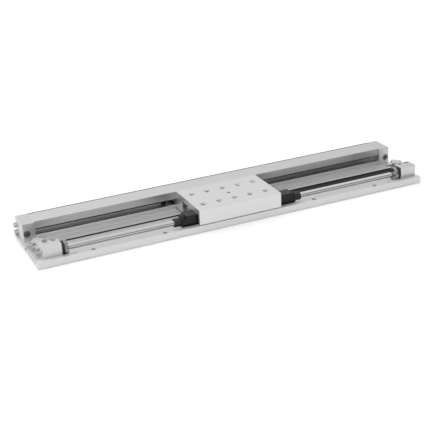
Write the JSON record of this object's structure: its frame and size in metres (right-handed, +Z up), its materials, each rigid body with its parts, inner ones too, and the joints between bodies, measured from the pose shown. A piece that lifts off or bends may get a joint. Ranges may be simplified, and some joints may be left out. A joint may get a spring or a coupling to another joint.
{
  "type": "pneumatic slide unit",
  "caption": "Low air-driven slide unit: a magnetic rodless cylinder in the base channel carries a flat table along a ball guide in a tall rear housing.",
  "frame": {"origin": "middle of the base's underside", "axes": "+X along the stroke, +Y from the front lip to the guide housing, +Z up from the machine bed"},
  "size_m": [0.574, 0.112, 0.0315],
  "materials": {
    "clear_anodised": "satin",
    "stainless": "polished",
    "bright_aluminium": "polished",
    "black_anodised": "satin",
    "black_rubber": "matte",
    "magnet": "satin",
    "ground_steel": "satin",
    "screw_steel": "satin",
    "white_resin": "matte",
    "black_resin": "matte",
    "brass": "satin"
  },
  "bodies": {
    "base": {"base_profile": "clear_anodised", "guide_housing": "clear_anodised", "housing_screws": "screw_steel", "guide_rail": "ground_steel", "rail_screws": "screw_steel", "left_housing_cap": "clear_anodised", "right_housing_cap": "clear_anodised", "cap_screws": "screw_steel", "left_port_plug": "screw_steel", "right_port_plug": "screw_steel", "left_end_block": "clear_anodised", "right_end_block": "clear_anodised", "end_block_screws": "screw_steel", "stop_bolts": "screw_steel", "stop_nuts": "screw_steel", "cylinder_tube": "stainless", "left_collar": "bright_aluminium", "right_collar": "bright_aluminium", "left_neck_ring": "black_rubber", "right_neck_ring": "black_rubber"},
    "carriage": {"slide_table": "clear_anodised", "left_guide_block": "ground_steel", "right_guide_block": "ground_steel", "guide_end_seals": "black_rubber", "guide_block_screws": "screw_steel", "table_stop_bolts": "screw_steel", "table_stop_nuts": "screw_steel", "slider_body": "black_anodised", "slider_screws": "screw_steel", "left_slider_bush": "black_resin", "right_slider_bush": "black_resin", "tube_scrapers": "black_rubber", "outer_magnets": "magnet", "outer_yokes": "ground_steel", "slider_spacers": "white_resin"},
    "piston": {"left_piston": "brass", "right_piston": "brass", "piston_shaft": "stainless", "inner_magnets": "magnet", "inner_yokes": "ground_steel", "piston_seals": "black_rubber", "piston_wear_rings": "white_resin", "piston_bumpers": "black_rubber"}
  },
  "joints": [
    {"name": "table_slide", "type": "slide", "parent": "base", "child": "carriage", "axis": [1, 0, 0], "range_m": [-0.1467, 0.1533]},
    {"name": "piston_slide", "type": "slide", "parent": "base", "child": "piston", "axis": [1, 0, 0], "range_m": [-0.1467, 0.1533]}
  ],
  "couplings": [
    {"joint": "piston_slide", "follows": "table_slide", "ratio": 1}
  ]
}
